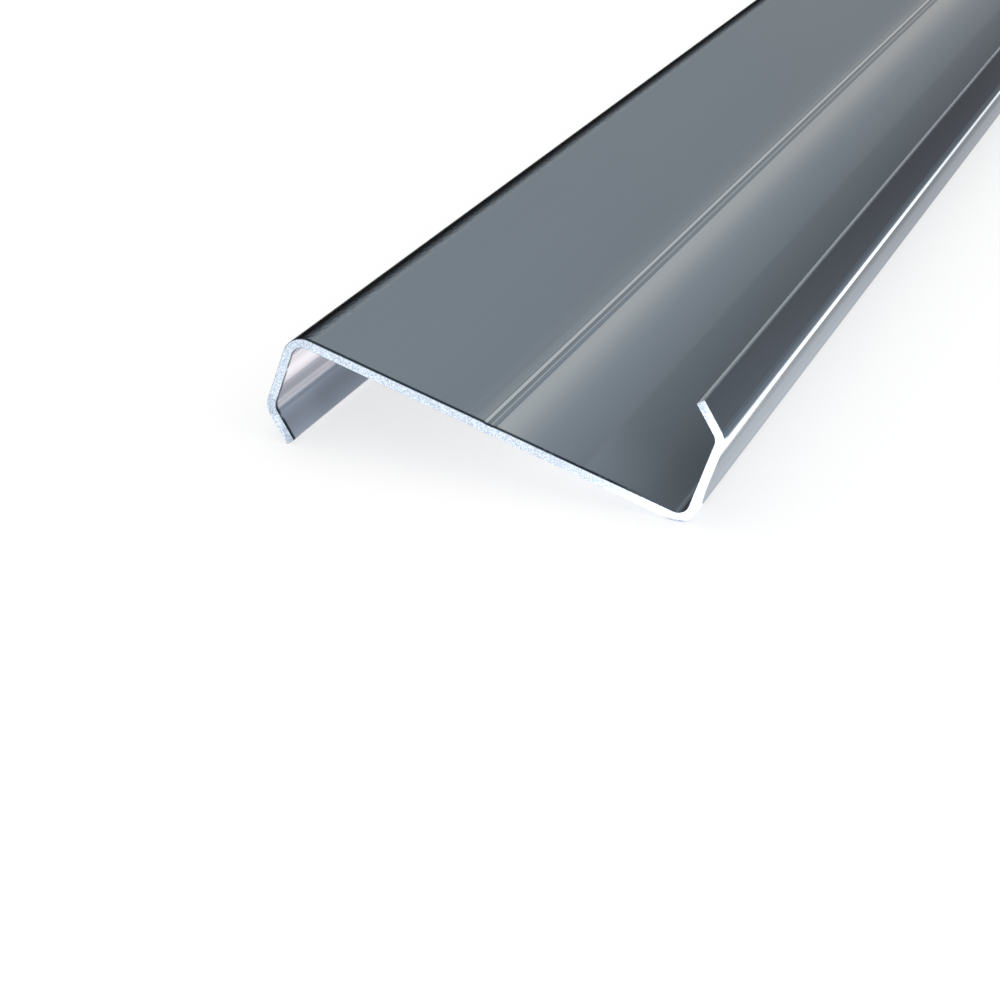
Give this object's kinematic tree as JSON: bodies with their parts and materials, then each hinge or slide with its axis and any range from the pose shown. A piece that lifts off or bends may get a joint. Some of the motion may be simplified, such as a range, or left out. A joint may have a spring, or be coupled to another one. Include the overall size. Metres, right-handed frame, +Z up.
{
  "type": "z purlin",
  "caption": "Cold-rolled galvanised steel Z purlin with a broad and a narrow flange, turned-in lips and a shallow twin groove along the web.",
  "frame": {"origin": "on the floor, under the middle of the box of the piece as it lies", "axes": "+Y along the length, +Z up, +X towards the broad flange; the web leans 14.9 degrees down towards +X, as the piece lies at rest"},
  "size_m": [0.159, 3, 0.0433],
  "materials": {
    "galvanised_steel": "smooth galvanised, satin"
  },
  "bodies": {
    "root": {"z_purlin": "galvanised_steel"}
  },
  "joints": []
}
